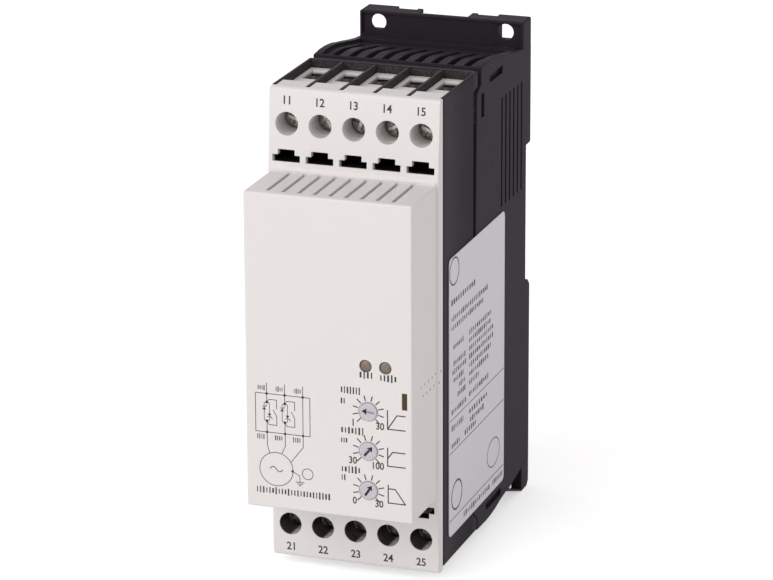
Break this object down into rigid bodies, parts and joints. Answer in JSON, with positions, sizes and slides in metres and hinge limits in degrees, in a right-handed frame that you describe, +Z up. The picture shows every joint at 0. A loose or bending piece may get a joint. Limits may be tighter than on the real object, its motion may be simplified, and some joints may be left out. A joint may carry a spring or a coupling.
{
  "type": "soft starter",
  "caption": "Narrow rail-mounted motor soft starter with a white hooded front, screw terminals at both ends, setting dials and a black base.",
  "frame": {"origin": "centre of the flat floor of the recess that seats on a 35 mm rail", "axes": "+X to the right seen from the front, +Y to the rear towards the rail, +Z up"},
  "size_m": [0.0452, 0.0953, 0.13],
  "materials": {
    "white_plastic": "fine moulded grain",
    "black_plastic": "fine moulded grain",
    "label_film": "satin film with plain rules",
    "zinc_steel": "zinc plated",
    "tinned_copper": "tinned",
    "aluminium": "extruded",
    "circuit_board": "solder mask",
    "module_resin": "moulded resin",
    "relay_case": "smooth",
    "dial_plastic": "smooth",
    "light_guide": "unlit, beige brown",
    "signal_brown": "smooth",
    "latch_plastic": "moulded",
    "spring_steel": "drawn wire"
  },
  "bodies": {
    "starter": {"front_cover": "white_plastic", "terminal_housing": "black_plastic", "mounting_base": "black_plastic", "upper_terminal_insert": "white_plastic", "lower_terminal_insert": "white_plastic", "control_board": "circuit_board", "power_board": "circuit_board", "heat_sink": "aluminium", "thyristor_module_1": "module_resin", "thyristor_module_2": "module_resin", "bypass_relay_1": "relay_case", "bypass_relay_2": "relay_case", "start_time_potentiometer": "module_resin", "start_voltage_potentiometer": "module_resin", "stop_time_potentiometer": "module_resin", "run_light": "light_guide", "fault_light": "light_guide", "signal_window": "signal_brown", "side_label": "label_film", "latch_spring": "spring_steel", "upper_bar_1": "tinned_copper", "upper_bar_2": "tinned_copper", "upper_bar_3": "tinned_copper", "upper_bar_4": "tinned_copper", "upper_bar_5": "tinned_copper", "lower_bar_1": "tinned_copper", "lower_bar_2": "tinned_copper", "lower_bar_3": "tinned_copper", "lower_bar_4": "tinned_copper", "lower_bar_5": "tinned_copper"},
    "start_time_dial": {"start_time_dial": "dial_plastic"},
    "start_voltage_dial": {"start_voltage_dial": "dial_plastic"},
    "stop_time_dial": {"stop_time_dial": "dial_plastic"},
    "rail_latch": {"rail_latch": "latch_plastic"},
    "upper_screw_1": {"upper_screw_1": "zinc_steel"},
    "upper_clamp_1": {"upper_clamp_1": "zinc_steel"},
    "upper_screw_2": {"upper_screw_2": "zinc_steel"},
    "upper_clamp_2": {"upper_clamp_2": "zinc_steel"},
    "upper_screw_3": {"upper_screw_3": "zinc_steel"},
    "upper_clamp_3": {"upper_clamp_3": "zinc_steel"},
    "upper_screw_4": {"upper_screw_4": "zinc_steel"},
    "upper_clamp_4": {"upper_clamp_4": "zinc_steel"},
    "upper_screw_5": {"upper_screw_5": "zinc_steel"},
    "upper_clamp_5": {"upper_clamp_5": "zinc_steel"},
    "lower_screw_1": {"lower_screw_1": "zinc_steel"},
    "lower_clamp_1": {"lower_clamp_1": "zinc_steel"},
    "lower_screw_2": {"lower_screw_2": "zinc_steel"},
    "lower_clamp_2": {"lower_clamp_2": "zinc_steel"},
    "lower_screw_3": {"lower_screw_3": "zinc_steel"},
    "lower_clamp_3": {"lower_clamp_3": "zinc_steel"},
    "lower_screw_4": {"lower_screw_4": "zinc_steel"},
    "lower_clamp_4": {"lower_clamp_4": "zinc_steel"},
    "lower_screw_5": {"lower_screw_5": "zinc_steel"},
    "lower_clamp_5": {"lower_clamp_5": "zinc_steel"}
  },
  "joints": [
    {"name": "start_time_dial_turn", "type": "hinge", "parent": "starter", "child": "start_time_dial", "pos_m": [0.01043, -0.0913, -0.02595], "axis": [0, 1, 0], "range_deg": [-50, 220]},
    {"name": "start_voltage_dial_turn", "type": "hinge", "parent": "starter", "child": "start_voltage_dial", "pos_m": [0.01043, -0.0913, -0.0363], "axis": [0, 1, 0], "range_deg": [-175, 95]},
    {"name": "stop_time_dial_turn", "type": "hinge", "parent": "starter", "child": "stop_time_dial", "pos_m": [0.01043, -0.0913, -0.04665], "axis": [0, 1, 0], "range_deg": [-168, 102]},
    {"name": "rail_latch_slide", "type": "slide", "parent": "starter", "child": "rail_latch", "axis": [0, 0, -1], "range_m": [0, 0.0035], "stiffness_N_per_m": 600, "springref_m": -0.002, "deforming": ["latch_spring"]},
    {"name": "upper_screw_1_turn", "type": "hinge", "parent": "starter", "child": "upper_screw_1", "pos_m": [-0.0176, -0.0651, 0.03995], "axis": [0, 1, 0], "range_deg": [0, 2101]},
    {"name": "upper_clamp_1_draw", "type": "slide", "parent": "starter", "child": "upper_clamp_1", "axis": [0, -1, 0], "range_m": [0, 0.0035]},
    {"name": "upper_screw_2_turn", "type": "hinge", "parent": "starter", "child": "upper_screw_2", "pos_m": [-0.0088, -0.0651, 0.03995], "axis": [0, 1, 0], "range_deg": [0, 2101]},
    {"name": "upper_clamp_2_draw", "type": "slide", "parent": "starter", "child": "upper_clamp_2", "axis": [0, -1, 0], "range_m": [0, 0.0035]},
    {"name": "upper_screw_3_turn", "type": "hinge", "parent": "starter", "child": "upper_screw_3", "pos_m": [0, -0.0651, 0.03995], "axis": [0, 1, 0], "range_deg": [0, 2101]},
    {"name": "upper_clamp_3_draw", "type": "slide", "parent": "starter", "child": "upper_clamp_3", "axis": [0, -1, 0], "range_m": [0, 0.0035]},
    {"name": "upper_screw_4_turn", "type": "hinge", "parent": "starter", "child": "upper_screw_4", "pos_m": [0.0088, -0.0651, 0.03995], "axis": [0, 1, 0], "range_deg": [0, 2101]},
    {"name": "upper_clamp_4_draw", "type": "slide", "parent": "starter", "child": "upper_clamp_4", "axis": [0, -1, 0], "range_m": [0, 0.0035]},
    {"name": "upper_screw_5_turn", "type": "hinge", "parent": "starter", "child": "upper_screw_5", "pos_m": [0.0176, -0.0651, 0.03995], "axis": [0, 1, 0], "range_deg": [0, 2101]},
    {"name": "upper_clamp_5_draw", "type": "slide", "parent": "starter", "child": "upper_clamp_5", "axis": [0, -1, 0], "range_m": [0, 0.0035]},
    {"name": "lower_screw_1_turn", "type": "hinge", "parent": "starter", "child": "lower_screw_1", "pos_m": [-0.0176, -0.0651, -0.06585], "axis": [0, 1, 0], "range_deg": [0, 2101]},
    {"name": "lower_clamp_1_draw", "type": "slide", "parent": "starter", "child": "lower_clamp_1", "axis": [0, -1, 0], "range_m": [0, 0.0035]},
    {"name": "lower_screw_2_turn", "type": "hinge", "parent": "starter", "child": "lower_screw_2", "pos_m": [-0.0088, -0.0651, -0.06585], "axis": [0, 1, 0], "range_deg": [0, 2101]},
    {"name": "lower_clamp_2_draw", "type": "slide", "parent": "starter", "child": "lower_clamp_2", "axis": [0, -1, 0], "range_m": [0, 0.0035]},
    {"name": "lower_screw_3_turn", "type": "hinge", "parent": "starter", "child": "lower_screw_3", "pos_m": [0, -0.0651, -0.06585], "axis": [0, 1, 0], "range_deg": [0, 2101]},
    {"name": "lower_clamp_3_draw", "type": "slide", "parent": "starter", "child": "lower_clamp_3", "axis": [0, -1, 0], "range_m": [0, 0.0035]},
    {"name": "lower_screw_4_turn", "type": "hinge", "parent": "starter", "child": "lower_screw_4", "pos_m": [0.0088, -0.0651, -0.06585], "axis": [0, 1, 0], "range_deg": [0, 2101]},
    {"name": "lower_clamp_4_draw", "type": "slide", "parent": "starter", "child": "lower_clamp_4", "axis": [0, -1, 0], "range_m": [0, 0.0035]},
    {"name": "lower_screw_5_turn", "type": "hinge", "parent": "starter", "child": "lower_screw_5", "pos_m": [0.0176, -0.0651, -0.06585], "axis": [0, 1, 0], "range_deg": [0, 2101]},
    {"name": "lower_clamp_5_draw", "type": "slide", "parent": "starter", "child": "lower_clamp_5", "axis": [0, -1, 0], "range_m": [0, 0.0035]}
  ],
  "couplings": [
    {"joint": "upper_screw_1_turn", "follows": "upper_clamp_1_draw", "rad_per_m": 10472},
    {"joint": "upper_screw_2_turn", "follows": "upper_clamp_2_draw", "rad_per_m": 10472},
    {"joint": "upper_screw_3_turn", "follows": "upper_clamp_3_draw", "rad_per_m": 10472},
    {"joint": "upper_screw_4_turn", "follows": "upper_clamp_4_draw", "rad_per_m": 10472},
    {"joint": "upper_screw_5_turn", "follows": "upper_clamp_5_draw", "rad_per_m": 10472},
    {"joint": "lower_screw_1_turn", "follows": "lower_clamp_1_draw", "rad_per_m": 10472},
    {"joint": "lower_screw_2_turn", "follows": "lower_clamp_2_draw", "rad_per_m": 10472},
    {"joint": "lower_screw_3_turn", "follows": "lower_clamp_3_draw", "rad_per_m": 10472},
    {"joint": "lower_screw_4_turn", "follows": "lower_clamp_4_draw", "rad_per_m": 10472},
    {"joint": "lower_screw_5_turn", "follows": "lower_clamp_5_draw", "rad_per_m": 10472}
  ]
}
